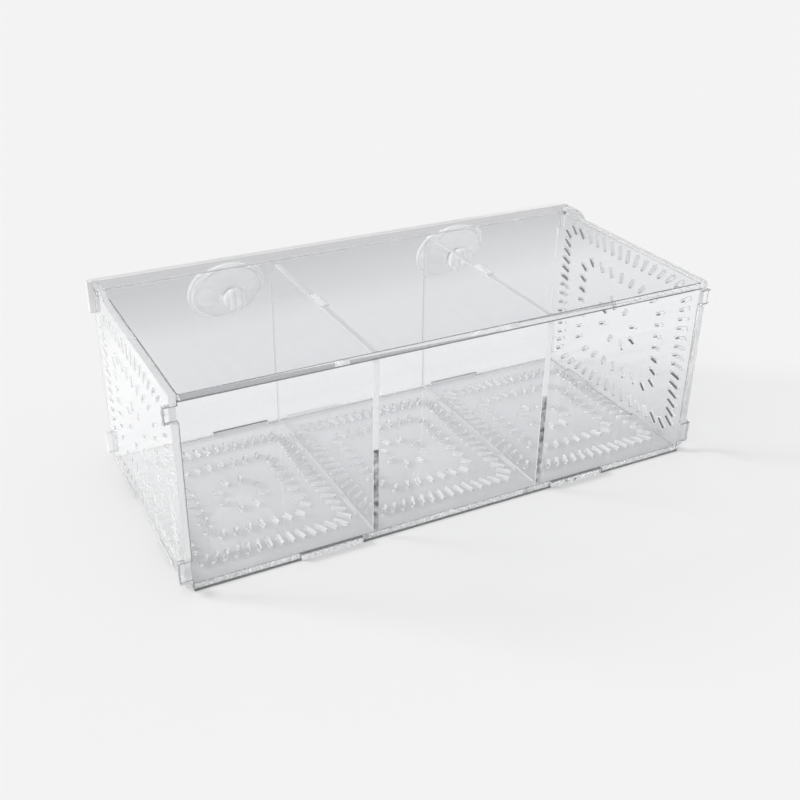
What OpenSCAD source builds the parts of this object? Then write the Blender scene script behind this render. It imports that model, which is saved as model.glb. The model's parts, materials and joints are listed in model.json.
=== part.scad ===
// Fish breeding box: clear sheet panels that slot together, three compartments,
// a hinged lid and two suction cups. The origin is the middle of the floor's underside.
// X runs along the box, Y from the front to the back, Z up.

/* [Box] */
// Clear length between the two end walls
inner_length = 260; // [220:1:320]
// Depth over the front and back walls
box_depth = 122; // [100:1:150]
// Height of the front wall and of the dividers
front_height = 91; // [75:0.5:120]
// Thickness of every sheet
sheet = 3; // [2.5:0.1:3.5]
// Gap between the faces of two panels that are glued or slotted together
panel_gap = 0.1; // [0.05:0.05:0.2]

/* [Tabs] */
// How far the wall tabs stand out past the end walls
tab_reach = 2.5; // [2:0.5:6]
// Height of a front wall's upper tab
upper_tab_h = 7.5; // [5:0.5:12]
// Distance of the front wall's upper tab below its top edge
upper_tab_drop = 1.5; // [1:0.5:6]
// Height of a lower tab
lower_tab_h = 11; // [6:0.5:16]
// Height of a lower tab's bottom edge above the ground
lower_tab_lift = 5; // [4:0.5:12]
// Height of a back wall's upper tab, down from its top edge
back_tab_h = 16; // [12:0.5:24]
// Length of the floor tabs in the front and back walls
floor_tab_w = 30; // [16:1:40]
// Distance between the two floor tabs of one long edge
floor_tab_spacing = 132; // [100:1:150]
// Length of the floor tabs in the end walls
end_tab_w = 20; // [12:1:30]
// Distance between the two floor tabs of one end
end_tab_spacing = 60; // [40:1:70]
// Length of the divider tabs in the floor
divider_tab_w = 16; // [10:1:24]
// Distance between a divider's two floor tabs
divider_tab_spacing = 64; // [44:1:72]

/* [Lid] */
// Length of the divider tab that comes up through the lid
top_tab_w = 12.5; // [8:0.5:20]
// Clearance round a divider tab in the lid's slot
lid_slot_gap = 0.4; // [0.3:0.1:1]
// Clearance of the lid at each end wall
lid_end_gap = 0.4; // [0.3:0.1:1]
// Gap between the lid and the edges that it rests on
lid_seat_gap = 0.2; // [0.1:0.05:0.4]
// Gap between the lid's rear edge and the back wall
lid_rear_gap = 2.2; // [1.6:0.1:4]
// Radius of the lid's front corners
lid_corner_r = 1.5; // [0.5:0.5:6]
// Clearance between a hinge pin's corners and its hole
pin_gap = 0.18; // [0.1:0.02:0.4]

/* [End walls] */
// Rise of the back wall and of the hinge ears above the lid
ear_rise = 3.3; // [2:0.1:6]
// Length of a hinge ear along its level top
ear_length = 18; // [12:0.5:30]
// Length of the slope in front of a hinge ear
ear_slope = 6; // [3:0.5:12]
// Radius of the lower corners
bottom_corner_r = 7; // [3:0.5:12]
// Radius of the upper front corner
top_corner_r = 2; // [1:0.5:5]

/* [Dividers] */
// Depth of the cut that clears the lid's rear edge
relief_depth = 6; // [4:0.5:10]

/* [Slot fields] */
// Slots along each side of the outer ring
outer_slots = 14; // [8:1:16]
// Slots along each side of the middle ring
middle_slots = 7; // [4:1:8]
// Slots along each side of the inner ring
inner_slots = 2; // [2:1:3]
// Length of a slot in the outer ring
outer_slot_length = 7.4; // [4:0.2:9]
// Length of a slot in the middle ring
middle_slot_length = 5.8; // [3:0.2:8]
// Length of a slot in the inner ring
inner_slot_length = 5.2; // [3:0.2:8]
// Width of every slot
slot_w = 1.7; // [1:0.1:2.2]
// Size of the middle ring as a share of the outer ring
middle_ring = 0.655; // [0.5:0.005:0.75]
// Size of the inner ring as a share of the outer ring
inner_ring = 0.26; // [0.2:0.005:0.35]
// Margin between a floor field's outer ring and the dividers
floor_margin_x = 6; // [5:0.5:12]
// Margin between a floor field's outer ring and the long walls
floor_margin_y = 14.5; // [8:0.5:24]
// Margin between an end wall's outer ring and the long walls
wall_margin_y = 9; // [6:0.5:20]
// Margin between an end wall's outer ring and the floor or the lid
wall_margin_z = 6.2; // [5:0.1:14]

/* [Suction cups] */
// Distance between the two cups
cup_spacing = 130; // [110:1:170]
// Distance of the cup holes below the back wall's top edge
cup_drop = 23; // [20:0.5:34]
// Diameter of a cup's rim
rim_d = 40; // [30:0.5:46]
// Depth of a cup's dish
dish_depth = 8; // [5:0.5:12]
// Diameter of a cup's neck
neck_d = 9; // [6:0.5:12]
// Clearance of a neck in its hole and of a head on the wall
cup_gap = 0.3; // [0.3:0.05:0.5]
// Diameter of the head that keeps a cup in its hole
head_d = 12; // [11:0.5:20]
// Thickness of the head
head_h = 4.5; // [3:0.5:7]
// Least distance of the dish from the wall
dish_clear = 0.8; // [0.5:0.1:4]
// Lean of the dish on its soft neck
dish_lean = 24; // [0:1:30]
// Drop of the dish's middle below the hole, from the give of the soft neck
neck_sag = 2; // [0:0.5:2.5]
// How much wider than the neck the boss of a dish is
boss_step = 1.5; // [1:0.5:3]
// Thickness of the dish at its rim and width of its flat lip
rim_t = 1; // [0.8:0.1:1.6]
// Thickness of the dish at its middle
dish_t = 3; // [2:0.1:4]

/* [Hidden] */
acrylic = [0.86, 0.9, 0.92, 0.35];
soft_pvc = [0.93, 0.95, 0.97, 0.6];
over = 1;                                        // how far a cut runs past a face
half_length = inner_length / 2;
half_depth = box_depth / 2;
wall_in = half_depth - sheet;                    // inner face of the long walls
lid_bottom = front_height + lid_seat_gap;
lid_top = lid_bottom + sheet;
back_height = lid_top + ear_rise;
lid_rear = wall_in - lid_rear_gap;
pin_y = lid_rear - sheet / 2;                    // hinge axis
pin_z = lid_bottom + sheet / 2;
pin_hole_r = sheet / sqrt(2) + pin_gap;
room_w = (inner_length - 2 * sheet) / 3;         // width of a compartment
divider_x = (room_w + sheet) / 2;
lower_tab = [lower_tab_lift, lower_tab_lift + lower_tab_h];
upper_tab = [front_height - upper_tab_drop - upper_tab_h, front_height - upper_tab_drop];
back_tab = [back_height - back_tab_h, back_height];
cup_z = back_height - cup_drop;
hole_r = neck_d / 2 + cup_gap;
boss_r = neck_d / 2 + boss_step;                 // radius of the boss in the dish's middle
rim_r = rim_d / 2;
neck_reach = dish_clear + max(                   // from the wall to the middle of the boss
  boss_r * sin(dish_lean),
  rim_r * sin(dish_lean) - (dish_depth - rim_t) * cos(dish_lean)
);
ring_slots = [outer_slots, middle_slots, inner_slots];
ring_scale = [1, middle_ring, inner_ring];
ring_length = [outer_slot_length, middle_slot_length, inner_slot_length];
dish_steps = 10;

// A straight slot with round ends, centred on the origin
module slot_2d(length) {
  square([length - slot_w, slot_w], center = true);
  for (side = [-1, 1])
    translate([side * (length - slot_w) / 2, 0]) circle(d = slot_w, $fn = 16);
}

// One rectangular ring of slots that all point at its middle
module slot_ring(half_w, half_h, count, length) {
  for (k = [0:count - 1], side = [-1, 1]) {
    along = (k - (count - 1) / 2) * 2 / (count + 0.5);
    x = along * half_w;
    y = along * half_h;
    translate([x, side * half_h]) rotate(atan2(side * half_h, x)) slot_2d(length);
    translate([side * half_w, y]) rotate(atan2(y, side * half_w)) slot_2d(length);
  }
}

// The three rings of slots of one field
module slot_field(half_w, half_h) {
  for (i = [0:2])
    slot_ring(half_w * ring_scale[i], half_h * ring_scale[i], ring_slots[i], ring_length[i]);
}

// Two equal cuts or tabs, centred on the origin and set apart along X
module pair_2d(spacing, size) {
  for (side = [-1, 1]) translate([side * spacing / 2, 0]) square(size, center = true);
}

// A rectangle from one corner to the other
module rect_2d(low, high) {
  translate(low) square(high - low);
}

// A flat panel across the box: the profile's X is world Y and its Y is world Z
module across(x) {
  translate([x, 0, 0]) rotate([90, 0, 90]) linear_extrude(sheet) children();
}

// A flat panel along the box: the profile's X is world X and its Y is world Z
module along_box(front_y) {
  translate([0, front_y + sheet, 0]) rotate([90, 0, 0]) linear_extrude(sheet) children();
}

module floor_panel() {
  reach_x = half_length + sheet;
  color(acrylic) linear_extrude(sheet) difference() {
    union() {
      square([inner_length - 2 * panel_gap, 2 * (wall_in - panel_gap)], center = true);
      pair_2d(floor_tab_spacing, [floor_tab_w, box_depth]);
      rotate(90) pair_2d(end_tab_spacing, [end_tab_w, 2 * reach_x]);
    }
    for (side = [-1, 1])
      translate([side * divider_x, 0]) rotate(90)
        pair_2d(divider_tab_spacing, [divider_tab_w + 2 * panel_gap, sheet + 2 * panel_gap]);
    for (room = [-1:1])
      translate([room * (room_w + sheet), 0])
        slot_field(room_w / 2 - floor_margin_x, wall_in - floor_margin_y);
  }
}

// End tabs of a long wall, between two heights
module end_tabs_2d(span) {
  for (side = [-1, 1]) {
    inner = side * (half_length - sheet);
    outer = side * (half_length + sheet + tab_reach);
    rect_2d([min(inner, outer), span[0]], [max(inner, outer), span[1]]);
  }
}

// A long wall with its two pairs of end tabs and the notches for the floor's tabs
module long_wall_2d(height, top_tab) {
  width = inner_length - 2 * panel_gap;
  difference() {
    union() {
      rect_2d([-width / 2, 0], [width / 2, height]);
      end_tabs_2d(lower_tab);
      end_tabs_2d(top_tab);
    }
    pair_2d(floor_tab_spacing, [floor_tab_w + 2 * panel_gap, 2 * (sheet + panel_gap)]);
  }
}

module front_wall() {
  color(acrylic) along_box(-half_depth) long_wall_2d(front_height, upper_tab);
}

module back_wall() {
  color(acrylic) along_box(wall_in) difference() {
    long_wall_2d(back_height, back_tab);
    for (side = [-1, 1]) translate([side * cup_spacing / 2, cup_z]) circle(r = hole_r, $fn = 48);
  }
}

// What rounding takes off a corner whose tip is at the origin, towards +X and +Y inside
module corner_cut_2d(r) {
  difference() {
    translate([-over, -over]) square(r + over);
    translate([r, r]) circle(r = r, $fn = 48);
  }
}

// The plain outline of an end wall, with its hinge ear and its rounded corners
module end_outline_2d() {
  ear_front = half_depth - ear_length;
  difference() {
    polygon([
      [-half_depth, 0], [half_depth, 0], [half_depth, back_height], [ear_front, back_height],
      [ear_front - ear_slope, lid_top], [-half_depth, lid_top]
    ]);
    translate([-half_depth, 0]) corner_cut_2d(bottom_corner_r);
    translate([half_depth, 0]) mirror([1, 0]) corner_cut_2d(bottom_corner_r);
    translate([-half_depth, lid_top]) mirror([0, 1]) corner_cut_2d(top_corner_r);
  }
}

// A notch at one long edge that takes a wall's tab
module edge_notch_2d(side, span) {
  inner = side * (wall_in - panel_gap);
  outer = side * (half_depth + over);
  rect_2d([min(inner, outer), span[0] - panel_gap], [max(inner, outer), span[1] + panel_gap]);
}

module end_wall_2d() {
  middle_z = (sheet + lid_bottom) / 2;
  difference() {
    end_outline_2d();
    edge_notch_2d(-1, lower_tab);
    edge_notch_2d(-1, upper_tab);
    edge_notch_2d(1, lower_tab);
    edge_notch_2d(1, [back_tab[0], back_tab[1] + over]);
    pair_2d(end_tab_spacing, [end_tab_w + 2 * panel_gap, 2 * (sheet + panel_gap)]);
    translate([pin_y, pin_z]) circle(r = pin_hole_r, $fn = 48);
    translate([0, middle_z])
      slot_field(wall_in - wall_margin_y, middle_z - sheet - wall_margin_z);
  }
}

module left_end_wall() {
  color(acrylic) across(-half_length - sheet) end_wall_2d();
}

module right_end_wall() {
  color(acrylic) across(half_length) end_wall_2d();
}

// A divider with two tabs in the floor, one tab through the lid and a relief at the hinge
module divider(x) {
  reach_y = wall_in - panel_gap;
  color(acrylic) across(x - sheet / 2) {
    polygon([
      [-reach_y, sheet + panel_gap], [reach_y, sheet + panel_gap],
      [reach_y, front_height - relief_depth], [reach_y - relief_depth, front_height],
      [-reach_y, front_height]
    ]);
    rect_2d([-top_tab_w / 2, front_height - over], [top_tab_w / 2, lid_top]);
    translate([0, (sheet + panel_gap + over) / 2])
      pair_2d(divider_tab_spacing, [divider_tab_w, sheet + panel_gap + over]);
  }
}

module left_divider() {
  divider(-divider_x);
}

module right_divider() {
  divider(divider_x);
}

// The lid, with a slot over each divider's tab and a square pin at each rear corner
module lid() {
  half_w = half_length - lid_end_gap;
  color(acrylic) translate([0, 0, lid_bottom]) linear_extrude(sheet) difference() {
    union() {
      rect_2d([-half_w, lid_corner_r - half_depth], [half_w, lid_rear]);
      rect_2d([lid_corner_r - half_w, -half_depth], [half_w - lid_corner_r, lid_rear]);
      for (side = [-1, 1])
        translate([side * (half_w - lid_corner_r), lid_corner_r - half_depth])
          circle(r = lid_corner_r, $fn = 32);
      rect_2d([-half_length - sheet, lid_rear - sheet], [half_length + sheet, lid_rear]);
    }
    for (side = [-1, 1])
      translate([side * divider_x, 0])
        square([sheet + 2 * lid_slot_gap, top_tab_w + 2 * lid_slot_gap], center = true);
  }
}

// Rise of a dish's skin from one radius to another: level at the start, steep at the end
function skin(r, start_r, end_r, rise) = rise * pow((r - start_r) / (end_r - start_r), 1.5);

// The dish, opening along +Z, with its boss at the origin
module dish() {
  lip_r = rim_r - rim_t;
  outside = [for (i = [0:dish_steps]) let (r = boss_r + (rim_r - boss_r) * i / dish_steps)
    [r, skin(r, boss_r, rim_r, dish_depth - rim_t)]];
  inside = [for (i = [dish_steps:-1:0]) let (r = lip_r * i / dish_steps)
    [r, dish_t + skin(r, 0, lip_r, dish_depth - dish_t)]];
  rotate_extrude($fn = 72) polygon(concat([[0, 0]], outside, [[rim_r, dish_depth]], inside));
}

// The head inside the box and the neck through the wall, along +Z from the wall's outer face
module head_and_neck() {
  seat = -sheet - cup_gap;
  head_r = head_d / 2;
  dome = [for (i = [0:6]) let (a = i * 15) [head_r * sin(a), seat - head_h / 2 * (1 + cos(a))]];
  rotate_extrude($fn = 48) polygon(concat(
    dome, [[head_r, seat], [neck_d / 2, seat], [neck_d / 2, neck_reach + over], [0, neck_reach + over]]
  ));
}

module suction_cup(x) {
  color(soft_pvc) translate([x, half_depth, cup_z]) {
    rotate([-90, 0, 0]) head_and_neck();
    translate([0, neck_reach, -neck_sag]) rotate([dish_lean - 90, 0, 0]) dish();
  }
}

module left_suction_cup() {
  suction_cup(-cup_spacing / 2);
}

module right_suction_cup() {
  suction_cup(cup_spacing / 2);
}

floor_panel();
front_wall();
back_wall();
left_end_wall();
right_end_wall();
left_divider();
right_divider();
lid();
left_suction_cup();
right_suction_cup();
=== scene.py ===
"""The dressed fish breeding box: clear sheet panels, a hinged lid and two soft suction cups.

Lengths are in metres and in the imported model's frame: X runs along the box, Y from its front
to its back and Z up from the underside of its floor.
"""

import json
import logging
import math
from collections.abc import Iterable
from dataclasses import dataclass
from enum import Enum, IntEnum
from typing import Any

import bmesh
import bpy
from mathutils import Matrix, Vector
from mathutils.geometry import delaunay_2d_cdt


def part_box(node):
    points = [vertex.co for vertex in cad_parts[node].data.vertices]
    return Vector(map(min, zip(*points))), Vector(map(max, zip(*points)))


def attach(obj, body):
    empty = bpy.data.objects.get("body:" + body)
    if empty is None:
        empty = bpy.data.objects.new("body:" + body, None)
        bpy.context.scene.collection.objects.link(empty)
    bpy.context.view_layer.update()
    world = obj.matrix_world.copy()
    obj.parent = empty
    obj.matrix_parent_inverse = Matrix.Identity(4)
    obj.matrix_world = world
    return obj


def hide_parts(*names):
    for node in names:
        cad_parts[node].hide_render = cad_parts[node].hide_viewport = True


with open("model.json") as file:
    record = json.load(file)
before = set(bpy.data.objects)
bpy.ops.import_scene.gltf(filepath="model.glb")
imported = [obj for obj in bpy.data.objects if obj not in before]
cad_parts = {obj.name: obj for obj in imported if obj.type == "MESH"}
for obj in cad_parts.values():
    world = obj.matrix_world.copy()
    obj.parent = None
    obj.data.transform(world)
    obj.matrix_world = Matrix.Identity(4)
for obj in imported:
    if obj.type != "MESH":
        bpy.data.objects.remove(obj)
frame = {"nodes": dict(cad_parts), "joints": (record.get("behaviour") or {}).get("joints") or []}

LOG = logging.getLogger("breeding_box")
MM = 0.001
TINY = 1e-9
BOUNCES = 64
# The cups' attribute that mixes in milky vinyl: partly its own milkiness, partly painted
# highlights and painted light.
MILK_AND_PAINTED_LIGHT = "milk_and_painted_light"

# The places of a Mix node's sockets where it mixes colours.
MIX_SHARE, MIX_FIRST, MIX_SECOND, MIX_RESULT = 0, 6, 7, 2

Triple = tuple[float, float, float]
Colour = Triple
Point = tuple[float, float]
Loop = list[Point]


class Axis(Enum):
    """The direction through a sheet's thickness, as an index into X, Y and Z."""

    X = 0
    Y = 1
    Z = 2

    @property
    def across(self) -> tuple[int, int]:
        """The two other axes, in the order that keeps a right-handed frame."""
        return (self.value + 1) % 3, (self.value + 2) % 3


@dataclass(frozen=True)
class CutLook:
    """What a laser leaves on a cut, and the painted shade that some cuts carry.

    Fields:
        clearness: share of the light that goes through.
        rough_low: least roughness.
        rough_span: how much rougher the roughest spots are.
        lit: share of a lamp's light that goes through.
        seen: tint of what is seen through it, from black at 0 to clear at 1.
        spots: that tint in its spots, where it has any, which mottle the painted dark reflection.
    """

    clearness: float
    rough_low: float
    rough_span: float
    lit: float
    seen: float
    spots: float | None = None


class Cut(Enum):
    """The kinds of cut edge."""

    BRIGHT = CutLook(0.93, 0.02, 0.04, lit=0.60, seen=0.98)
    SLOT = CutLook(0.60, 0.18, 0.12, lit=0.74, seen=0.99)
    MATT = CutLook(0.76, 0.40, 0.14, lit=0.66, seen=0.98)
    FROST = CutLook(0.42, 0.45, 0.15, lit=0.66, seen=0.99)
    # Clear but tinted dark: painted shade lines along the edges of the floor, the front wall and
    # the lid.
    CORNER = CutLook(0.92, 0.08, 0.10, lit=0.50, seen=0.22)
    # Near black: painted shade in the front and back walls' holes and along their feet and notch
    # tops, and a painted dark reflection on some slot sides.
    DARK = CutLook(0.0, 0.30, 0.10, lit=0.50, seen=0.11)
    # Mottled near black: a painted dark reflection low on the dividers' front edges.
    PAINTED_DARK_REFLECTION = CutLook(0.0, 0.30, 0.10, lit=0.50, seen=0.05, spots=0.62)


class Slot(IntEnum):
    """The material slots of a sheet."""

    FACE = 0
    EDGE = 1
    HOLE = 2
    CORNER = 3
    # Sides of holes that carry a painted dark reflection.
    PAINTED_DARK_SIDE = 4
    # The slot below carries a painted dark reflection low on the front edge.
    SMOKE = 5


# --- shader graphs -------------------------------------------------------------------------


class Value:
    """A number that a node gives, on which Python's operators add Math nodes."""

    def __init__(self, graph: "Graph", socket: bpy.types.NodeSocket) -> None:
        """Wraps one output socket of a graph."""
        self.graph = graph
        self.socket = socket

    def math(self, operation: str, first: Any, second: Any = 0.0) -> "Value":
        """Adds one Math node.

        Args:
            operation: the Math node's operation.
            first: its first number.
            second: its second number.

        Returns:
            The node's result.
        """
        node = self.graph.node("ShaderNodeMath", {"operation": operation}, {0: first, 1: second})
        return Value(self.graph, node.outputs[0])

    def __add__(self, other: Any) -> "Value":
        """self + other."""
        return self.math("ADD", self, other)

    __radd__ = __add__

    def __sub__(self, other: Any) -> "Value":
        """self - other."""
        return self.math("SUBTRACT", self, other)

    def __rsub__(self, other: Any) -> "Value":
        """other - self."""
        return self.math("SUBTRACT", other, self)

    def __mul__(self, other: Any) -> "Value":
        """self * other."""
        return self.math("MULTIPLY", self, other)

    __rmul__ = __mul__

    def __or__(self, other: Any) -> "Value":
        """The larger of the two, so that two yes-or-no values join."""
        return self.math("MAXIMUM", self, other)

    __ror__ = __or__


class Graph:
    """The node tree of one material or world."""

    def __init__(self, owner: bpy.types.ID) -> None:
        """Empties a node tree.

        Args:
            owner: the material or world that the tree belongs to.
        """
        owner.use_nodes = True
        self.tree = owner.node_tree
        self.tree.nodes.clear()

    def node(self, kind: str, settings: dict[str, Any] | None = None,
             inputs: dict[str | int, Any] | None = None) -> bpy.types.Node:
        """Adds a node.

        Args:
            kind: the node's type.
            settings: its properties; "stops" are a colour ramp's places and colours.
            inputs: values or links, by the socket's name or place.

        Returns:
            The new node.
        """
        made = self.tree.nodes.new(kind)
        for name, value in (settings or {}).items():
            if name == "stops":
                self._set_stops(made.color_ramp, value)
            else:
                setattr(made, name, value)
        for key, value in (inputs or {}).items():
            self._feed(made.inputs[key], value)
        return made

    @staticmethod
    def _set_stops(ramp: bpy.types.ColorRamp, stops: Iterable[tuple[float, Colour]]) -> None:
        """Gives a colour ramp its stops.

        Args:
            ramp: the ramp, with its two first elements.
            stops: places and colours, of which the first is at 0 and the last at 1.
        """
        first, *middle, last = stops
        for element, (place, colour) in zip((ramp.elements[0], ramp.elements[-1]), (first, last)):
            element.position = place
            element.color = (*colour, 1.0)
        for place, colour in middle:
            ramp.elements.new(place).color = (*colour, 1.0)

    def _feed(self, socket: bpy.types.NodeSocket, value: Any) -> None:
        """Links a socket, or sets its own value.

        Args:
            socket: the socket of a new node.
            value: a value or socket to link, or a number, colour or vector to keep.
        """
        if isinstance(value, Value):
            self.tree.links.new(value.socket, socket)
        elif isinstance(value, bpy.types.NodeSocket):
            self.tree.links.new(value, socket)
        elif isinstance(value, tuple) and socket.type == "RGBA":
            socket.default_value = (*value, 1.0)
        else:
            socket.default_value = value

    def ray(self, *kinds: str) -> Value:
        """Tells some kinds of ray from the rest.

        Args:
            kinds: outputs of the Light Path node, such as Is Shadow Ray.

        Returns:
            1 where the ray is any of these kinds, and 0 elsewhere.
        """
        path = self.node("ShaderNodeLightPath")
        found = Value(self, path.outputs[kinds[0]])
        for kind in kinds[1:]:
            found = found | path.outputs[kind]
        return found

    def mix(self, share: Any, first: Any, second: Any) -> bpy.types.NodeSocket:
        """A colour that goes from the first to the second as the share goes from 0 to 1."""
        inputs = {MIX_SHARE: share, MIX_FIRST: first, MIX_SECOND: second}
        return self.node("ShaderNodeMix", {"data_type": "RGBA"}, inputs).outputs[MIX_RESULT]

    def mix_shader(self, share: Any, first: bpy.types.Node,
                   second: bpy.types.Node) -> bpy.types.Node:
        """A shader that goes from the first to the second as the share goes from 0 to 1."""
        inputs = {0: share, 1: first.outputs[0], 2: second.outputs[0]}
        return self.node("ShaderNodeMixShader", None, inputs)

    def ramp(self, share: Value, stops: Iterable[tuple[float, Colour]]) -> bpy.types.NodeSocket:
        """The colour at a share along a colour ramp."""
        return self.node("ShaderNodeValToRGB", {"stops": stops}, {0: share}).outputs[0]

    def part(self, vector: bpy.types.NodeSocket, axis: Axis) -> Value:
        """One coordinate of a vector."""
        parts = self.node("ShaderNodeSeparateXYZ", None, {0: vector})
        return Value(self, parts.outputs[axis.value])

    def places(self, stretch: Triple) -> bpy.types.NodeSocket:
        """Stretches the piece's own coordinates.

        Args:
            stretch: what each coordinate is multiplied by.

        Returns:
            The stretched coordinates.
        """
        own = self.node("ShaderNodeTexCoord").outputs["Object"]
        scaled = self.node("ShaderNodeVectorMath", {"operation": "MULTIPLY"}, {0: own, 1: stretch})
        return scaled.outputs[0]

    def noise(self, stretch: Triple, detail: float = 2.0) -> Value:
        """Soft noise from 0 to 1, with as many features per metre on each axis as stretch says."""
        inputs = {"Vector": self.places(stretch), "Scale": 1.0, "Detail": detail}
        return Value(self, self.node("ShaderNodeTexNoise", None, inputs).outputs[0])

    def bump(self, height: Value, distance: float) -> bpy.types.NodeSocket:
        """The normals of a surface that rises by height times distance."""
        inputs = {"Height": height, "Distance": distance, "Strength": 1.0}
        return self.node("ShaderNodeBump", None, inputs).outputs[0]

    def window(self, body: bpy.types.Node, tint: Colour) -> bpy.types.Node:
        """Lets the light of lamps and of pale surroundings straight through a body, tinted.

        Args:
            body: the shader that the eye sees.
            tint: what one face leaves of the light.

        Returns:
            The shader for both.
        """
        pane = self.node("ShaderNodeBsdfTransparent", None, {"Color": tint})
        return self.mix_shader(self.ray("Is Shadow Ray", "Is Diffuse Ray"), body, pane)

    def output(self, surface: bpy.types.Node, world: bool = False) -> None:
        """Ends the graph with a material's or a world's output."""
        kind = "ShaderNodeOutputWorld" if world else "ShaderNodeOutputMaterial"
        self.node(kind, None, {"Surface": surface.outputs[0]})


# --- finishes ------------------------------------------------------------------------------


def grey(level: float, cast: Colour) -> Colour:
    """A grey of that level, multiplied by a cast."""
    return tuple(level * share for share in cast)


@dataclass(frozen=True)
class ClearFinish:
    """A clear plastic that bends light and lets lamps through.

    Fields:
        name: the material's name.
        ior: index of refraction.
        tint: colour that one face lets through.
        lamp_tint: what one face leaves of a lamp's light.
        clearness: share of the light that goes through rather than being scattered back.
        rough_low: least roughness.
        rough_span: how much rougher the roughest spots are.
        grain: features per metre of the relief, on each axis.
        relief: height of the relief.
        spot_tint: the tint in its spots, where it has any, as in the mottled painted dark
            reflection.
        spots: spots per metre.
        contrast: how sharply the spots stand out.
        fineness: how much finer the marks of its roughness are than its relief.
    """

    name: str
    ior: float
    tint: Colour
    lamp_tint: Colour
    clearness: float
    rough_low: float
    rough_span: float
    grain: Triple
    relief: float
    spot_tint: Colour | None = None
    spots: float = 260.0
    contrast: float = 3.0
    fineness: float = 2.3

    def material(self) -> bpy.types.Material:
        """Makes the material.

        Returns:
            Glass for the eye, and a tinted window for light from lamps.
        """
        made = bpy.data.materials.new(self.name)
        graph = Graph(made)
        relief = graph.noise(self.grain)
        marks = graph.noise(tuple(self.fineness * g for g in self.grain), detail=3.0)
        tint = self.tint
        if self.spot_tint:
            spots = graph.noise((self.spots,) * 3) * self.contrast + (1 - self.contrast) / 2
            tint = graph.mix(spots, self.tint, self.spot_tint)
        body = graph.node("ShaderNodeBsdfPrincipled", None, {
            "Base Color": tint,
            "IOR": self.ior,
            "Transmission Weight": self.clearness,
            "Roughness": marks * self.rough_span + self.rough_low,
            "Normal": graph.bump(relief, self.relief),
        })
        graph.output(graph.window(body, self.lamp_tint))
        return made


@dataclass(frozen=True)
class SheetStock:
    """Clear cast sheet: its polished faces, and the edges that a laser leaves.

    Fields:
        ior: index of refraction.
        face_tint, face_lamp_tint: what a face lets through to the eye, and from a lamp.
        face_rough: roughness of a face's dullest spots.
        face_wave, wave_height: waves per metre of a face, and their height.
        edge_cast, edge_lamp_cast: cast of what an edge lets through to the eye, and from a lamp.
        streaks: streaks per metre along a cut edge.
        streak_run: streaks per metre through the sheet.
        streak_height: height of the streaks.
    """

    ior: float = 1.49
    face_tint: Colour = (0.990, 0.993, 0.996)
    face_lamp_tint: Colour = (0.986, 0.987, 0.988)
    face_rough: float = 0.004
    face_wave: float = 28.0
    wave_height: float = 0.003 * MM
    edge_cast: Colour = (1.0, 1.005, 1.01)
    edge_lamp_cast: Colour = (1.0, 1.0, 1.01)
    streaks: float = 2600.0
    streak_run: float = 120.0
    streak_height: float = 0.0003 * MM

    def face(self) -> bpy.types.Material:
        """Makes the polished face.

        Returns:
            A clear material with the faint waves of cast sheet.
        """
        return ClearFinish(
            name="acrylic_face",
            ior=self.ior,
            tint=self.face_tint,
            lamp_tint=self.face_lamp_tint,
            clearness=1.0,
            rough_low=0.0,
            rough_span=self.face_rough,
            grain=(self.face_wave,) * 3,
            relief=self.wave_height,
        ).material()

    def edge(self, axis: Axis, cut: Cut) -> bpy.types.Material:
        """Makes a cut edge, with fine streaks that run through the sheet.

        Args:
            axis: the direction through the sheet.
            cut: how the edge was left, or the painted shade that it carries.

        Returns:
            The material.
        """
        look = cut.value
        grain = [self.streaks] * 3
        grain[axis.value] = self.streak_run
        return ClearFinish(
            name=f"acrylic_{cut.name.lower()}_edge_{axis.name.lower()}",
            ior=self.ior,
            tint=grey(look.seen, self.edge_cast),
            spot_tint=grey(look.spots, self.edge_cast) if look.spots else None,
            lamp_tint=grey(look.lit, self.edge_lamp_cast),
            clearness=look.clearness,
            rough_low=look.rough_low,
            rough_span=look.rough_span,
            grain=tuple(grain),
            relief=self.streak_height,
        ).material()


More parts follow.
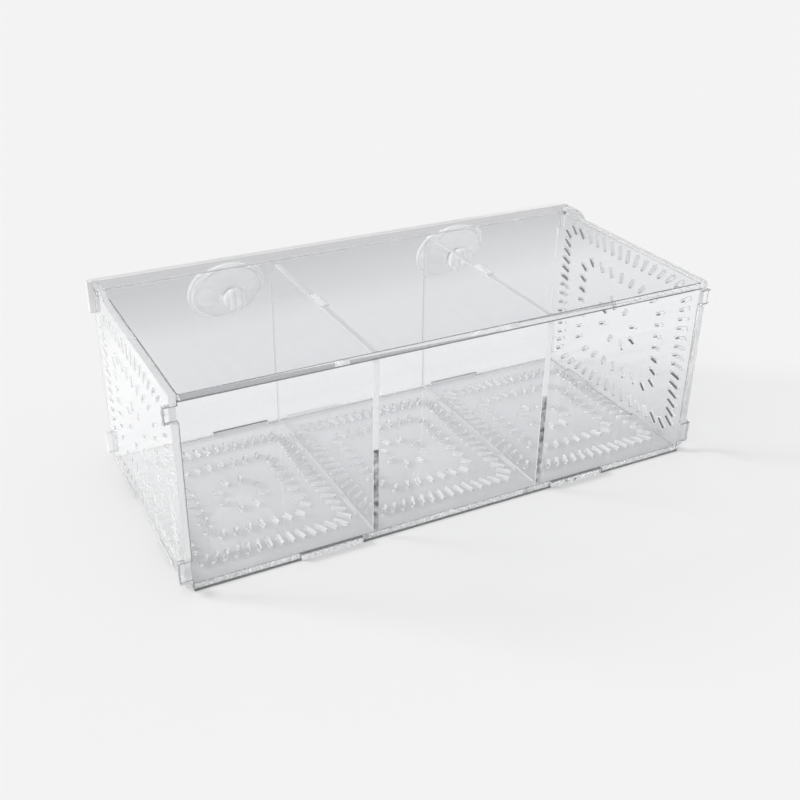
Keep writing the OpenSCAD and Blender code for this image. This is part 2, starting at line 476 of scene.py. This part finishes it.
@dataclass(frozen=True)
class SoftVinyl:
    """Soft clear vinyl, with the slow ripples of a thin moulding: milky in places, and whitened
    where painted highlights and painted light lie.

    Fields:
        ior: index of refraction.
        ripple: ripples per metre.
        ripple_height: height of the ripples.
        marks: marks per metre in its roughness.
        rough_low: least roughness.
        rough_span: how much rougher the roughest marks are.
        clear_tint, clearness: colour of the clear vinyl, and its share of light let through.
        milky_tint, milky_clearness: the same for the milky vinyl, which also whitens the painted
            highlights and painted light.
        spread, depth: share of light that spreads inside the milky vinyl, and how far.
        lamp_tint: what one face leaves of a lamp's light.
    """

    ior: float = 1.52
    ripple: float = 210.0
    ripple_height: float = 0.05 * MM
    marks: float = 900.0
    rough_low: float = 0.03
    rough_span: float = 0.08
    clear_tint: Colour = (0.985, 0.988, 0.990)
    clearness: float = 0.92
    milky_tint: Colour = (0.99, 0.99, 0.99)
    milky_clearness: float = 0.1
    spread: float = 0.4
    depth: float = 1.2 * MM
    lamp_tint: Colour = (0.95, 0.952, 0.955)

    def material(self) -> bpy.types.Material:
        """Makes the cups' one finish.

        Returns:
            Clear and milky vinyl, mixed by each piece's own attribute of milkiness and painted
            light.
        """
        made = bpy.data.materials.new("soft_vinyl")
        graph = Graph(made)
        marks = graph.noise((self.marks,) * 3, detail=3.0)
        skin = {
            "IOR": self.ior,
            "Roughness": marks * self.rough_span + self.rough_low,
            "Normal": graph.bump(graph.noise((self.ripple,) * 3), self.ripple_height),
        }
        clear = graph.node("ShaderNodeBsdfPrincipled", None, skin | {
            "Base Color": self.clear_tint,
            "Transmission Weight": self.clearness,
        })
        milky = graph.node("ShaderNodeBsdfPrincipled", None, skin | {
            "Base Color": self.milky_tint,
            "Transmission Weight": self.milky_clearness,
            "Subsurface Weight": self.spread,
            "Subsurface Radius": (1.0, 1.0, 1.0),
            "Subsurface Scale": self.depth,
        })
        milk_and_painted_light = graph.node("ShaderNodeAttribute", {"attribute_name": MILK_AND_PAINTED_LIGHT}).outputs["Fac"]
        body = graph.mix_shader(milk_and_painted_light, clear, milky)
        graph.output(graph.window(body, self.lamp_tint))
        return made


# --- meshes --------------------------------------------------------------------------------


def finish_object(name: str, bm: bmesh.types.BMesh) -> bpy.types.Object:
    """Puts a finished mesh in the scene.

    Args:
        name: the object's name.
        bm: the mesh, which is freed.

    Returns:
        The new object.
    """
    mesh = bpy.data.meshes.new(name)
    bm.to_mesh(mesh)
    bm.free()
    made = bpy.data.objects.new(name, mesh)
    bpy.context.scene.collection.objects.link(made)
    return made


def signed_area(loop: Loop) -> float:
    """The area inside a loop, above 0 where it runs anticlockwise."""
    return sum(a[0] * b[1] - b[0] * a[1] for a, b in zip(loop, loop[1:] + loop[:1])) / 2


def without_flat_points(loop: Loop, slack: float) -> Loop:
    """Leaves out the points of a loop that lie nearly on the line past them.

    Args:
        loop: the points.
        slack: how far off that line such a point may be.

    Returns:
        The points that stay.
    """
    kept = [loop[0]]
    for point, after in zip(loop[1:], loop[2:] + loop[:1]):
        before = Vector(kept[-1])
        run = Vector(after) - before
        offset = Vector(point) - before
        if abs(run.cross(offset)) > slack * max(run.length, TINY):
            kept.append(point)
    return kept


def inset(loop: Loop, distance: float) -> Loop:
    """Moves each side of a loop to its left, with mitred corners.

    Args:
        loop: the points, with the material on their left.
        distance: how far each side moves.

    Returns:
        As many points.
    """
    made = []
    for before, point, after in zip(loop[-1:] + loop[:-1], loop, loop[1:] + loop[:1]):
        here = Vector(point)
        first = (here - Vector(before)).normalized()
        second = (Vector(after) - here).normalized()
        mitre = Vector((-first.y - second.y, first.x + second.x))
        scale = 2 * distance / max(mitre.length_squared, 1.0)
        made.append(tuple(here + mitre * scale))
    return made


@dataclass
class Sheet:
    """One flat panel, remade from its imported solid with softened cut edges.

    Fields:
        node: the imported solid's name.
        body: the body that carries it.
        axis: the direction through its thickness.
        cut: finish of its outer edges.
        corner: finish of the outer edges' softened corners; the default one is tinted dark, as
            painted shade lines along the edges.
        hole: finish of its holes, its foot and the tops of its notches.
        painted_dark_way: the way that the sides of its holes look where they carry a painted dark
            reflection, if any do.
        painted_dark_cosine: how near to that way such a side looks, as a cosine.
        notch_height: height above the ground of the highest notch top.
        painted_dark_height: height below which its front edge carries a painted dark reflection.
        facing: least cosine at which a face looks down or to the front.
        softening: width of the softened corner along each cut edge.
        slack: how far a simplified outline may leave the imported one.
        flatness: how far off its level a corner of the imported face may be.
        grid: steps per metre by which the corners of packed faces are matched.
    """

    node: str
    body: str
    axis: Axis
    cut: Cut
    corner: Cut = Cut.CORNER
    hole: Cut = Cut.SLOT
    painted_dark_way: Triple = (0.0, 0.0, 0.0)
    painted_dark_cosine: float = 0.94
    notch_height: float = 4.0 * MM
    painted_dark_height: float = 0.0
    facing: float = 0.9
    softening: float = 0.22 * MM
    slack: float = 0.012 * MM
    flatness: float = 0.001 * MM
    grid: float = 1e7

    @property
    def cuts(self) -> tuple[Cut, ...]:
        """The finishes of the slots after the face's, in their order."""
        return self.cut, self.hole, self.corner, Cut.DARK, Cut.PAINTED_DARK_REFLECTION

    def outline(self) -> list[Loop]:
        """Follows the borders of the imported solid's upper face.

        Returns:
            The loops round the face and its holes, with the material on their left.
        """
        mesh = frame["nodes"][self.node].data
        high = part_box(self.node)[1][self.axis.value]
        u, v = self.axis.across
        at = [(round(p.co[u] * self.grid), round(p.co[v] * self.grid)) for p in mesh.vertices]
        on_face = [abs(p.co[self.axis.value] - high) < self.flatness for p in mesh.vertices]
        sides = set()
        for face in mesh.polygons:
            corners = list(face.vertices)
            if all(on_face[i] for i in corners):
                sides.update((at[a], at[b]) for a, b in zip(corners, corners[1:] + corners[:1]))
        following = {a: b for a, b in sides if (b, a) not in sides}
        loops = []
        while following:
            start = min(following)
            loop = [start]
            point = following.pop(start)
            while point != start:
                loop.append(point)
                point = following.pop(point)
            metres = [(x / self.grid, y / self.grid) for x, y in loop]
            loops.append(without_flat_points(metres, self.slack))
        return loops

    def build(self, name: str) -> bpy.types.Object:
        """Makes the sheet: two faces, its cut edges and a softened corner along each.

        Args:
            name: the piece's name.

        Returns:
            The piece, with a material slot from Slot on each of its faces.
        """
        loops = [self._split(loop) for loop in self.outline()]
        inner = [inset(loop, self.softening) for loop in loops]
        low, high = (corner[self.axis.value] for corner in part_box(self.node))
        levels = ((inner, high), (loops, high - self.softening),
                  (loops, low + self.softening), (inner, low))
        bm = bmesh.new()
        rings = [[[bm.verts.new(self._place(p, level)) for p in loop] for loop in outline]
                 for outline, level in levels]
        for level, (upper, lower) in enumerate(zip(rings, rings[1:])):
            for loop, top, bottom in zip(loops, upper, lower):
                outer = Slot.EDGE if level == 1 else Slot.CORNER
                slot = Slot.HOLE if signed_area(loop) < 0 else outer
                for i, corner in enumerate(top):
                    side = bm.faces.new((corner, bottom[i], bottom[i - 1], top[i - 1]))
                    side.material_index = slot
        for triangle in self._triangles(inner):
            bm.faces.new([rings[0][k][i] for k, i in triangle])
            bm.faces.new([rings[-1][k][i] for k, i in reversed(triangle)])
        bmesh.ops.recalc_face_normals(bm, faces=bm.faces)
        for face in bm.faces:
            face.material_index = self._final_slot(face)
        return finish_object(name, bm)

    def _split(self, loop: Loop) -> Loop:
        """Adds a point wherever a side passes the height of the painted dark reflection.

        Args:
            loop: the points of a loop of the outline.

        Returns:
            The points with the new ones between them.
        """
        made = []
        for point, after in zip(loop, loop[1:] + loop[:1]):
            made.append(point)
            here, there = (self._place(p, 0.0).z - self.painted_dark_height for p in (point, after))
            if here * there < -TINY:
                made.append(tuple(Vector(point).lerp(Vector(after), here / (here - there))))
        return made

    def _final_slot(self, face: bmesh.types.BMFace) -> int:
        """Settles a face's slot, now that it is known which way the face looks.

        Args:
            face: a face of the sheet, with its normal.

        Returns:
            The holes' slot on the foot and the tops of notches, the painted dark slot on the sides
            of holes that look the painted dark way, the painted dark reflection's slot low on the
            front edge, and otherwise the face's own.
        """
        slot = face.material_index
        height = face.calc_center_median().z
        looks_down = face.normal.z < -self.facing
        looks_front = face.normal.y < -self.facing
        if slot == Slot.EDGE and looks_down and height < self.notch_height:
            return Slot.HOLE
        # Painted dark reflection on the front edge below its height.
        if slot == Slot.EDGE and looks_front and height < self.painted_dark_height:
            return Slot.SMOKE
        # Painted dark reflection on the sides of holes that look one way.
        if slot == Slot.HOLE and face.normal.dot(Vector(self.painted_dark_way)) > self.painted_dark_cosine:
            return Slot.PAINTED_DARK_SIDE
        return slot

    def _place(self, point: Point, level: float) -> Vector:
        """Takes a point of the outline into the frame.

        Args:
            point: the point, on the two axes along the sheet.
            level: its place on the axis through the sheet.

        Returns:
            The point in the frame.
        """
        u, v = self.axis.across
        place = Vector((0.0, 0.0, 0.0))
        place[u], place[v], place[self.axis.value] = *point, level
        return place

    @staticmethod
    def _triangles(loops: list[Loop]) -> list[list[tuple[int, int]]]:
        """Fills the outline with triangles, and leaves its holes open.

        Args:
            loops: the loops of the outline.

        Returns:
            Three corners for each triangle, each as its loop and its place in the loop.
        """
        corners = [(k, i) for k, loop in enumerate(loops) for i in range(len(loop))]
        points = [Vector(p) for loop in loops for p in loop]
        first = {k: corners.index((k, 0)) for k in range(len(loops))}
        sides = [(first[k] + i, first[k] + (i + 1) % len(loops[k])) for k, i in corners]
        found = delaunay_2d_cdt(points, sides, [], 1, TINY)
        origin = found[3]
        holes = {k for k, loop in enumerate(loops) if signed_area(loop) < 0}
        made = []
        for face in found[2]:
            triangle = [corners[origin[i][0]] for i in face]
            ring = {k for k, _ in triangle}
            if len(ring) > 1 or not ring <= holes:
                made.append(triangle)
        return made

    def dress(self, piece: bpy.types.Object, finishes: Iterable[bpy.types.Material]) -> None:
        """Gives the piece its finishes and its body, and hides the node that it stands for.

        Args:
            piece: the sheet.
            finishes: its materials, in the order of Slot.
        """
        for finish in finishes:
            piece.data.materials.append(finish)
        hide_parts(self.node)
        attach(piece, self.body)


def smooth(share: float) -> float:
    """Turns a share from 0 to 1 into one that starts and ends level."""
    share = min(max(share, 0.0), 1.0)
    return share * share * (3 - 2 * share)


@dataclass(frozen=True)
class MilkAndPaintedLight:
    """How milky a cup's vinyl looks, and where painted light whitens it, as shares from 0 to 1
    that add up.

    Fields:
        head: all of the head and the neck.
        painted_streaks: share, radians per metre and start of each set of upright painted streaks
            of light in the head.
        dish: all of the dish.
        low: painted light on the dish's lower part.
        low_start, low_slope: how the lower part fades out towards the top.
        bead: a painted highlight on the moulded bead.
        rim: a painted highlight on the rim's lip.
        rim_start, rim_fade: how far in from the edge the lip's share starts, and its width.
        stroke: one painted highlight beside the boss.
        painted_highlight_way: the way round in which the painted highlight lies, from X towards Z.
        painted_highlight_cosine: cosine of the angle from that way at which the painted highlight
            ends.
        painted_highlight_slope: how fast it fades in from there.
            painted_highlight_end, painted_highlight_fade: radius where it ends, and the length
            over which it fades.
    """

    head: float = 0.70
    painted_streaks: tuple[Triple, ...] = ((0.13, 1700.0, 0.0), (0.07, 3700.0, 1.0))
    dish: float = 0.10
    low: float = 0.42
    low_start: float = 0.45
    low_slope: float = 0.8
    bead: float = 0.95
    rim: float = 0.7
    rim_start: float = 0.8 * MM
    rim_fade: float = 0.6 * MM
    stroke: float = 1.0
    painted_highlight_way: float = math.radians(172)
    painted_highlight_cosine: float = 0.80
    painted_highlight_slope: float = 6.0
    painted_highlight_end: float = 20.7 * MM
    painted_highlight_fade: float = 9.0 * MM


@dataclass
class SuctionCup:
    """A soft cup: a head inside the wall, a neck through it and a dish outside.

    Fields:
        side: left or right.
        sheet: thickness of the wall.
        head_r, head_h: radius and height of the head.
        dimple: the dimple in the head, as radius and depth, from its middle out.
        dome: angles from the middle line at which the head's dome has its points, in degrees.
        skirt_h, skirt_in: height and width of the slope round the head's foot.
        neck_r: radius of the neck.
        gap: clearance between the head and the wall.
        reach: length of the neck outside the wall.
        shank_steps, neck_steps: points along the neck, inside the wall and outside it.
        flare: power by which the neck widens into the boss.
        sag: drop of the dish on its neck.
        lean: lean of the dish towards the wall.
        boss_r: radius of the boss in the dish's middle.
        rim_r, rim_t: radius of the rim, and the thickness of its lip.
        lip: width of the lip's softened corner.
        bead_r, bead_w, bead_h: radius, half width and height of the bead inside the rim.
        depth, middle_t: depth of the dish, and its thickness in the middle.
        curl: power by which the dish rises towards its rim.
        steps: points along each skin of the dish.
        turns: corners round a ring.
        crease: angle from which two faces meet sharply.
        milk_and_painted_light_look: how milky its parts look, and where painted light lies on
            them.
    """

    side: str
    sheet: float = 3.0 * MM
    head_r: float = 6.0 * MM
    head_h: float = 4.5 * MM
    dimple: tuple[Point, ...] = ((0.0, 0.55 * MM), (1.1 * MM, 0.5 * MM), (1.6 * MM, 0.1 * MM))
    dome: range = range(22, 91, 8)
    skirt_h: float = 0.5 * MM
    skirt_in: float = 0.35 * MM
    neck_r: float = 4.5 * MM
    gap: float = 0.3 * MM
    reach: float = 3.24 * MM
    shank_steps: int = 3
    neck_steps: int = 6
    flare: float = 2.0
    sag: float = 2.0 * MM
    lean: float = math.radians(24)
    boss_r: float = 6.0 * MM
    rim_r: float = 20.0 * MM
    rim_t: float = 1.0 * MM
    lip: float = 0.15 * MM
    bead_r: float = 17.8 * MM
    bead_w: float = 1.1 * MM
    bead_h: float = 0.6 * MM
    depth: float = 8.0 * MM
    middle_t: float = 3.0 * MM
    curl: float = 1.5
    steps: int = 56
    turns: int = 96
    crease: float = math.radians(50)
    milk_and_painted_light_look: MilkAndPaintedLight = MilkAndPaintedLight()

    def profile(self) -> list[Point]:
        """Draws half of the moulding's outline, from the head to the dish and back.

        Returns:
            Its points, as radius and distance from the wall's outer face.
        """
        return self._head() + self._neck() + self._outer_skin() + self._inner_skin()

    def _head(self) -> list[Point]:
        """Draws the head inside the wall.

        Returns:
            The points of its dimple, its dome and its foot.
        """
        seat = -self.sheet - self.gap
        dimple = [(radius, seat - self.head_h + sunk) for radius, sunk in self.dimple]
        dome = []
        for degrees in self.dome:
            angle = math.radians(degrees)
            rise = self.head_h / 2 * (1 + math.cos(angle))
            dome.append((self.head_r * math.sin(angle), seat - rise))
        skirt = [(self.head_r, seat - self.skirt_h), (self.head_r - self.skirt_in, seat)]
        return dimple + dome + skirt + [(self.neck_r, seat)]

    def _neck(self) -> list[Point]:
        """Draws the neck, which widens into the boss outside the wall.

        Returns:
            Its points, from the wall's inner face to the boss.
        """
        inside = [(self.neck_r, -self.sheet * i / self.shank_steps)
                  for i in range(self.shank_steps, -1, -1)]
        outside = []
        for i in range(1, self.neck_steps + 1):
            share = i / self.neck_steps
            radius = self.neck_r + (self.boss_r - self.neck_r) * smooth(share) ** self.flare
            outside.append((radius, self.reach * share))
        return inside + outside

    def _outer_skin(self) -> list[Point]:
        """Draws the dish's back, with a moulded bead inside the rim.

        Returns:
            Its points, from the boss to the rim.
        """
        made = []
        for i in range(1, self.steps + 1):
            share = i / self.steps
            radius = self.boss_r + (self.rim_r - self.boss_r) * share
            rise = (self.depth - self.rim_t) * share ** self.curl
            bead = self.bead_h * max(0.0, 1 - ((radius - self.bead_r) / self.bead_w) ** 2)
            made.append((radius, self.reach + rise - bead))
        return made

    def _inner_skin(self) -> list[Point]:
        """Draws the dish's hollow side.

        Returns:
            Its points, from the flat lip back to the middle.
        """
        end = self.reach + self.depth
        made = [(self.rim_r, end - self.lip), (self.rim_r - self.lip, end)]
        for i in range(self.steps, -1, -1):
            share = i / self.steps
            rise = self.middle_t + (self.depth - self.middle_t) * share ** self.curl
            made.append(((self.rim_r - self.rim_t) * share, self.reach + rise))
        return made

    def _bent(self, radius: float, along: float, angle: float, hole: Vector) -> Vector:
        """Moves a point of the moulding as its neck gives way under the dish.

        Args:
            radius: distance from the moulding's middle line.
            along: distance from the wall's outer face.
            angle: the way round the middle line, from X towards Z.
            hole: the middle of the wall's hole, on its outer face.

        Returns:
            The point in the frame.
        """
        bend = smooth(along / self.reach)
        turn = Matrix.Rotation(self.lean * bend, 3, "X")
        run = min(along, self.reach)
        middle = Vector((0.0, run, -self.sag * bend))
        past = Vector((radius * math.cos(angle), along - run, radius * math.sin(angle)))
        return hole + middle + turn @ past

    def build(self, name: str) -> bpy.types.Object:
        """Turns the profile into a closed skin round the neck's bent middle line.

        Args:
            name: the piece's name.

        Returns:
            The piece.
        """
        joint = next(j for j in frame["joints"] if j["child"] == f"{self.side}_cup")
        hole = Vector(joint["pos_m"])
        profile = self.profile()
        bm = bmesh.new()
        rings = []
        for radius, along in profile:
            count = 1 if radius < TINY else self.turns
            rings.append([bm.verts.new(self._bent(radius, along, math.tau * k / self.turns, hole))
                          for k in range(count)])
        for before, after in zip(rings, rings[1:]):
            for k in range(self.turns):
                corners = [before[k % len(before)], before[(k + 1) % len(before)],
                           after[(k + 1) % len(after)], after[k % len(after)]]
                bm.faces.new(list(dict.fromkeys(corners))).smooth = True
        bmesh.ops.recalc_face_normals(bm, faces=bm.faces)
        made = finish_object(name, bm)
        made.data.set_sharp_from_angle(angle=self.crease)
        milk_and_painted_light = made.data.attributes.new(MILK_AND_PAINTED_LIGHT, "FLOAT", "POINT")
        shares = [self.milk_and_painted_light(radius, along, math.tau * k / self.turns)
                  for (radius, along), ring in zip(profile, rings) for k in range(len(ring))]
        milk_and_painted_light.data.foreach_set("value", shares)
        return made

    def milk_and_painted_light(self, radius: float, along: float, angle: float) -> float:
        """How milky the vinyl is at a point, painted light included.

        Args:
            radius: distance from the moulding's middle line.
            along: distance from the wall's outer face.
            angle: the way round the middle line, from X towards Z.

        Returns:
            A share from 0 to 1: most in the painted highlights on the bead, the rim and beside the
                boss, and in painted light on the dish's lower part.
        """
        look = self.milk_and_painted_light_look
        if along < self.reach:
            across = radius * math.cos(angle)
            # The head's upright stripes are painted streaks of light.
            return look.head + sum(share * math.sin(rate * across + start)
                                   for share, rate, start in look.painted_streaks)
        # Painted light on the dish: its lower part, and painted highlights on the bead, the rim's
        # lip and beside the boss.
        low = smooth(look.low_start - look.low_slope * math.sin(angle))
        bead = smooth(1 - abs(radius - self.bead_r) / self.bead_w)
        rim = smooth((radius - self.rim_r + look.rim_start) / look.rim_fade)
        way = smooth(look.painted_highlight_slope * (math.cos(angle - look.painted_highlight_way) - look.painted_highlight_cosine))
        stroke = way * smooth((look.painted_highlight_end - radius) / look.painted_highlight_fade)
        parts = (look.low * low, look.bead * bead, look.rim * rim, look.stroke * stroke)
        return min(1.0, look.dish + sum(parts))

    def dress(self, piece: bpy.types.Object, finish: bpy.types.Material) -> None:
        """Gives the cup its finish and its body, and hides the node that it stands for.

        Args:
            piece: the moulding.
            finish: its material.
        """
        piece.data.materials.append(finish)
        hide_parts(f"{self.side}_suction_cup")
        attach(piece, f"{self.side}_cup")


# --- studio --------------------------------------------------------------------------------


@dataclass(frozen=True)
class Patch:
    """A round patch of the room.

    Fields:
        middle: the direction of its middle.
        edge: cosine of the angle at which it begins.
        full: cosine of the angle within which it is full.
    """

    middle: Triple
    edge: float
    full: float

    def share(self, graph: Graph, way: bpy.types.NodeSocket) -> Value:
        """Tells how much a direction lies in the patch.

        Args:
            graph: the world's graph.
            way: the direction that is looked at.

        Returns:
            1 inside the patch, 0 outside, and a smooth step between.
        """
        inputs = {0: way, 1: tuple(Vector(self.middle).normalized())}
        toward = graph.node("ShaderNodeVectorMath", {"operation": "DOT_PRODUCT"}, inputs)
        inputs = {"Value": toward.outputs[1], "From Min": self.edge, "From Max": self.full}
        step = graph.node("ShaderNodeMapRange", {"interpolation_type": "SMOOTHSTEP"}, inputs)
        return Value(graph, step.outputs[0])


@dataclass
class Studio:
    """The pale floor with its painted shade, the lamps, the room that the plastic mirrors, and the
    camera.

    Fields:
        floor_half, floor_drop: half the floor's width, and its drop under the box.
        floor_colour, floor_mirrored: the floor's own colour, and its colour in a mirror.
        floor_painted_shade: painted shade on the floor where it is seen through the sheets, as its
            paleness by its place from front to back.
        floor_coolness: how much more blue than red is in that.
        backdrop: what is seen past the floor.
        room_light: how light the room is for what isn't clear.
        room_ahead, room_behind: the room's colour in front of the box, and behind it by height.
        behind: where the room behind the box is.
        soft_box, soft_box_light: the bright patch over the camera's left, and its colour.
        fill_strength, fill_angle, fill_travel: the fill lamp, and the way that its light goes.
        key_strength, key_angle, key_travel: the same for the key lamp.
        lens, sensor, near: the camera's focal length, its sensor and its nearest distance.
        camera_place, camera_ahead, camera_roll: where it stands, looks and how it is tilted.
    """

    floor_half: float = 12.0
    floor_drop: float = 0.1 * MM
    floor_colour: Colour = (0.885, 0.885, 0.885)
    floor_mirrored: Colour = (1.13, 1.13, 1.13)
    floor_painted_shade: tuple[Point, ...] = (
        (-0.10, 0.58), (-0.055, 0.635), (-0.03, 0.725), (0.0, 0.81), (0.065, 0.885),
        (0.085, 0.865), (0.133, 0.905), (0.18, 0.895), (0.215, 0.78), (0.25, 0.69),
        (0.275, 0.615), (0.40, 0.54),
    )
    floor_coolness: float = 1.012
    backdrop: Colour = (0.90, 0.90, 0.90)
    room_light: Colour = (0.49, 0.49, 0.49)
    room_ahead: Colour = (0.80, 0.81, 0.82)
    room_behind: tuple[tuple[float, Colour], ...] = (
        (0.0, (0.38, 0.39, 0.41)), (0.26, (0.60, 0.605, 0.62)), (0.345, (0.58, 0.585, 0.60)),
        (0.39, (0.42, 0.43, 0.45)), (0.44, (0.30, 0.31, 0.33)), (0.53, (0.32, 0.33, 0.35)),
        (0.66, (0.50, 0.51, 0.53)), (0.85, (0.96, 0.98, 1.0)), (1.0, (1.0, 1.0, 1.0)),
    )
    behind: Patch = Patch((0.45, 0.85, 0.25), edge=0.10, full=0.75)
    soft_box: Patch = Patch((-0.72, -0.52, 0.46), edge=0.93, full=0.96)
    soft_box_light: Colour = (1.6, 1.6, 1.6)
    fill_strength: float = 1.3
    fill_angle: float = math.radians(40)
    fill_travel: Triple = (0.45, 0.72, -0.55)
    key_strength: float = 2.0
    key_angle: float = math.radians(15)
    key_travel: Triple = (0.70, -0.53, -0.47)
    lens: float = 48.92
    sensor: float = 36.0
    near: float = 10.0 * MM
    camera_place: Triple = (-0.2243, -0.4231, 0.2905)
    camera_ahead: Triple = (0.4102, 0.7781, -0.4758)
    camera_roll: float = math.radians(0.817)

    def build_floor(self) -> None:
        """Lays a wide floor under the box: plain to the eye and in mirrors, with painted shade
        where it is seen through the sheets.
        """
        bm = bmesh.new()
        bmesh.ops.create_grid(bm, x_segments=1, y_segments=1, size=self.floor_half)
        floor = finish_object("studio_floor", bm)
        floor.location.z = -self.floor_drop
        paint = bpy.data.materials.new("floor_paint")
        graph = Graph(paint)
        front, back = self.floor_painted_shade[0][0], self.floor_painted_shade[-1][0]
        stretch = 1 / (back - front)
        painted_shade_stops = [((y - front) * stretch, (level, level, min(level * self.floor_coolness, 1.0)))
                  for y, level in self.floor_painted_shade]
        place = graph.node("ShaderNodeNewGeometry").outputs["Position"]
        # Painted shade seen through the sheets: darker under the box's front and far behind it.
        painted_shade_seen_through = graph.ramp((graph.part(place, Axis.Y) - front) * stretch, painted_shade_stops)
        colour = graph.mix(graph.ray("Is Glossy Ray"), self.floor_colour, self.floor_mirrored)
        colour = graph.mix(graph.ray("Is Transmission Ray"), colour, painted_shade_seen_through)
        graph.output(graph.node("ShaderNodeBsdfDiffuse", None, {"Color": colour}))
        floor.data.materials.append(paint)

    def build_room(self) -> None:
        """Lights the scene evenly, and shows the plastic a room that is darker low down."""
        world = bpy.data.worlds.new("studio_room")
        bpy.context.scene.world = world
        graph = Graph(world)
        way = graph.node("ShaderNodeTexCoord").outputs["Generated"]
        wall = graph.ramp(graph.part(way, Axis.Z), self.room_behind)
        room = graph.mix(self.behind.share(graph, way), self.room_ahead, wall)
        room = graph.mix(self.soft_box.share(graph, way), room, self.soft_box_light)
        in_plastic = graph.ray("Is Glossy Ray", "Is Transmission Ray")
        colour = graph.mix(in_plastic, self.room_light, room)
        colour = graph.mix(graph.ray("Is Camera Ray"), colour, self.backdrop)
        graph.output(graph.node("ShaderNodeBackground", None, {"Color": colour}), world=True)

    def build_lamps(self) -> None:
        """Adds the key lamp, behind the box, and a fill lamp in front, both to its left."""
        lamps = (("key_lamp", self.key_strength, self.key_angle, self.key_travel),
                 ("fill_lamp", self.fill_strength, self.fill_angle, self.fill_travel))
        for name, strength, angle, travel in lamps:
            lamp = bpy.data.lights.new(name, "SUN")
            lamp.energy = strength
            lamp.angle = angle
            placed = bpy.data.objects.new(name, lamp)
            placed.visible_glossy = False
            placed.visible_transmission = False
            bpy.context.scene.collection.objects.link(placed)
            placed.rotation_mode = "QUATERNION"
            placed.rotation_quaternion = Vector(travel).to_track_quat("-Z", "Y")

    def build_camera(self) -> None:
        """Stands the camera high in front of the box, to its left."""
        data = bpy.data.cameras.new("camera")
        data.sensor_width = self.sensor
        data.lens = self.lens
        data.clip_start = self.near
        camera = bpy.data.objects.new("camera", data)
        bpy.context.scene.collection.objects.link(camera)
        ahead = Vector(self.camera_ahead).normalized()
        level = ahead.cross(Vector((0.0, 0.0, 1.0))).normalized()
        right = Matrix.Rotation(self.camera_roll, 3, -ahead) @ level
        turn = Matrix((right, right.cross(ahead), -ahead)).transposed()
        camera.matrix_world = Matrix.Translation(self.camera_place) @ turn.to_4x4()
        bpy.context.scene.camera = camera


def set_look() -> None:
    """Sets plain colours, and enough bounces for a ray to cross every sheet of the box."""
    scene = bpy.context.scene
    scene.view_settings.view_transform = "Standard"
    scene.cycles.max_bounces = BOUNCES
    scene.cycles.transmission_bounces = BOUNCES
    scene.cycles.glossy_bounces = BOUNCES
    scene.cycles.transparent_max_bounces = BOUNCES


def report(piece: bpy.types.Object) -> None:
    """Logs one finished piece."""
    LOG.info("%s: %d faces", piece.name, len(piece.data.polygons))


def main() -> None:
    """Builds the studio, the sheets and the cups."""
    logging.basicConfig(level=logging.INFO, format="%(name)s %(message)s")
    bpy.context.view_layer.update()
    set_look()
    studio = Studio()
    for build in (studio.build_floor, studio.build_room, studio.build_lamps, studio.build_camera):
        build()
    stock = SheetStock()
    face = stock.face()
    # Painted shade lies in the front and back walls' holes and along their feet and notch tops.
    # Painted dark reflection lies on one side of the right end wall's slots and low on the
    # dividers' front edges. The floor, front wall and lid have dark tinted corners, which are
    # painted shade lines.
    sheets = {
        "floor_sheet": Sheet("floor_panel", "box", Axis.Z, Cut.BRIGHT),
        "front_sheet": Sheet("front_wall", "box", Axis.Y, Cut.BRIGHT, hole=Cut.DARK),
        "back_sheet": Sheet("back_wall", "box", Axis.Y, Cut.FROST, Cut.FROST, hole=Cut.DARK),
        "left_end_sheet": Sheet("left_end_wall", "box", Axis.X, Cut.MATT, Cut.MATT),
        "right_end_sheet": Sheet(
            "right_end_wall", "box", Axis.X, Cut.MATT, Cut.MATT, painted_dark_way=(0.0, -0.45, 0.89),
        ),
        "left_divider_sheet": Sheet(
            "left_divider", "box", Axis.X, Cut.FROST, Cut.FROST, Cut.FROST, painted_dark_height=46 * MM,
        ),
        "right_divider_sheet": Sheet(
            "right_divider", "box", Axis.X, Cut.FROST, Cut.FROST, Cut.FROST, painted_dark_height=52 * MM,
        ),
        "lid_sheet": Sheet("lid", "lid", Axis.Z, Cut.BRIGHT),
    }
    kinds = dict.fromkeys((s.axis, cut) for s in sheets.values() for cut in s.cuts)
    edges = {kind: stock.edge(*kind) for kind in kinds}
    for name, sheet in sheets.items():
        piece = sheet.build(name)
        sheet.dress(piece, [face] + [edges[sheet.axis, cut] for cut in sheet.cuts])
        report(piece)
    vinyl = SoftVinyl().material()
    for side in ("left", "right"):
        cup = SuctionCup(side)
        piece = cup.build(f"{side}_cup_moulding")
        cup.dress(piece, vinyl)
        report(piece)


if __name__ == "__main__":
    main()
